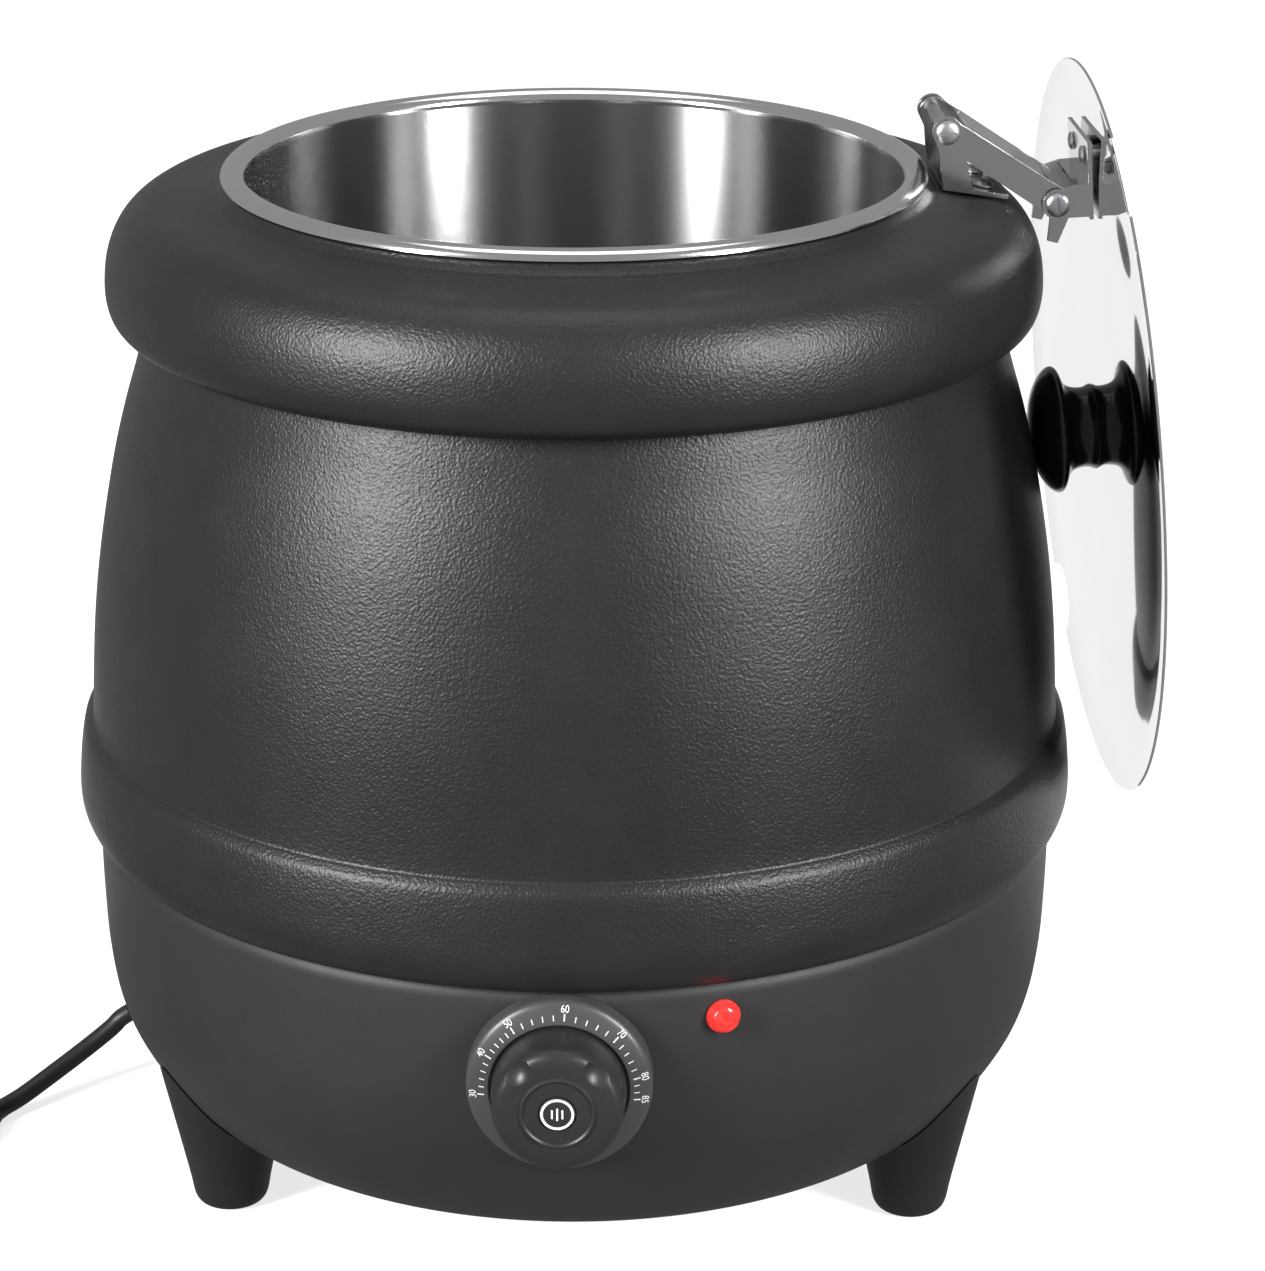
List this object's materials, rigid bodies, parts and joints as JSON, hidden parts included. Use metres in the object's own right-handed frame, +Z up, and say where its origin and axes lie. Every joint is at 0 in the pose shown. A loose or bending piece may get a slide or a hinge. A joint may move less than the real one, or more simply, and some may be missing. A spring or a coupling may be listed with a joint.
{
  "type": "soup kettle",
  "caption": "Round electric soup kettle with a hinged lid on a two-pin arm, lift-out pot in a water bath, dial thermostat, lamp and mains cord.",
  "frame": {"origin": "on the counter, under the middle of the kettle's box with its lid open, cord left out", "axes": "+Z up, -Y towards the dial, +X towards the hinge"},
  "size_m": [0.524, 0.3586, 0.3778],
  "materials": {
    "casing_paint": "dark charcoal paint with a fine leather grain",
    "bowl_plastic": "smooth matte charcoal",
    "foot_rubber": "matte black rubber",
    "stainless": "brushed stainless steel",
    "polished_stainless": "mirror-polished stainless steel",
    "zinc_steel": "zinc-plated steel",
    "brass": "bare brass",
    "copper_sheath": "bare copper sheath",
    "phenolic": "glossy black heat-resistant plastic",
    "dial_grey": "satin dark grey",
    "ceramic": "white ceramic-filled plastic",
    "red_lens": "glossy translucent red",
    "cord_rubber": "matte black rubber",
    "silicone": "grey silicone",
    "wire_brown": "brown insulation",
    "wire_blue": "blue insulation",
    "wire_green": "green and yellow insulation"
  },
  "bodies": {
    "kettle": {"collar_ring": "casing_paint", "barrel_shell": "casing_paint", "lower_bowl": "bowl_plastic", "base_plate": "zinc_steel", "base_screw_1": "zinc_steel", "base_screw_2": "zinc_steel", "base_screw_3": "zinc_steel", "foot_left": "foot_rubber", "foot_right": "foot_rubber", "foot_rear": "foot_rubber", "foot_screw_1": "zinc_steel", "foot_screw_2": "zinc_steel", "foot_screw_3": "zinc_steel", "foot_nut_left": "zinc_steel", "foot_nut_right": "zinc_steel", "foot_nut_rear": "zinc_steel", "water_tub": "stainless", "tub_seal": "silicone", "heating_element": "copper_sheath", "element_clamp": "zinc_steel", "overheat_cutout": "ceramic", "terminal_block": "ceramic", "thermostat_body": "phenolic", "thermostat_nut": "zinc_steel", "thermostat_bulb": "copper_sheath", "capillary_tube": "copper_sheath", "wire_live_in": "wire_brown", "wire_neutral_in": "wire_blue", "wire_earth_in": "wire_green", "wire_neutral_element": "wire_blue", "wire_live_thermostat": "wire_brown", "wire_live_cutout": "wire_brown", "indicator_lamp": "phenolic", "lamp_lens": "red_lens", "dial_plate": "dial_grey", "strain_relief": "cord_rubber", "power_cord": "cord_rubber", "cord_coil": "cord_rubber", "plug_body": "cord_rubber", "plug_pin_1": "brass", "plug_pin_2": "brass", "hinge_base_bracket": "polished_stainless", "hinge_base_screw_1": "polished_stainless", "hinge_base_screw_2": "polished_stainless"},
    "hinge_arm": {"hinge_arm": "polished_stainless", "hinge_pin_a": "polished_stainless"},
    "lid": {"lid_disc": "polished_stainless", "lid_bracket": "polished_stainless", "lid_bracket_rivet_1": "polished_stainless", "lid_bracket_rivet_2": "polished_stainless", "lid_knob": "phenolic", "lid_knob_washer": "stainless", "lid_knob_screw": "polished_stainless", "hinge_pin_b": "polished_stainless"},
    "dial_knob": {"thermostat_knob": "phenolic", "knob_insert": "dial_grey", "thermostat_shaft": "zinc_steel"},
    "pot": {"food_pot": "stainless"}
  },
  "joints": [
    {"name": "lid_arm", "type": "hinge", "parent": "kettle", "child": "hinge_arm", "pos_m": [0.10959, 0.01975, 0.3598], "axis": [0.0872, -0.9962, 0], "range_deg": [0, 209.96]},
    {"name": "lid_tilt", "type": "hinge", "parent": "hinge_arm", "child": "lid", "pos_m": [0.14655, 0.02299, 0.3353], "axis": [0.0872, -0.9962, 0], "range_deg": [0, 55.66]},
    {"name": "dial_turn", "type": "hinge", "parent": "kettle", "child": "dial_knob", "pos_m": [-0.01045, -0.16065, 0.0947], "axis": [0, 1, 0], "range_deg": [0, 278]},
    {"name": "pot_lift", "type": "slide", "parent": "kettle", "child": "pot", "axis": [0, 0, 1], "range_m": [0, 0.3]}
  ],
  "couplings": [
    {"joint": "lid_tilt", "follows": "lid_arm", "ratio": 0.26501}
  ]
}
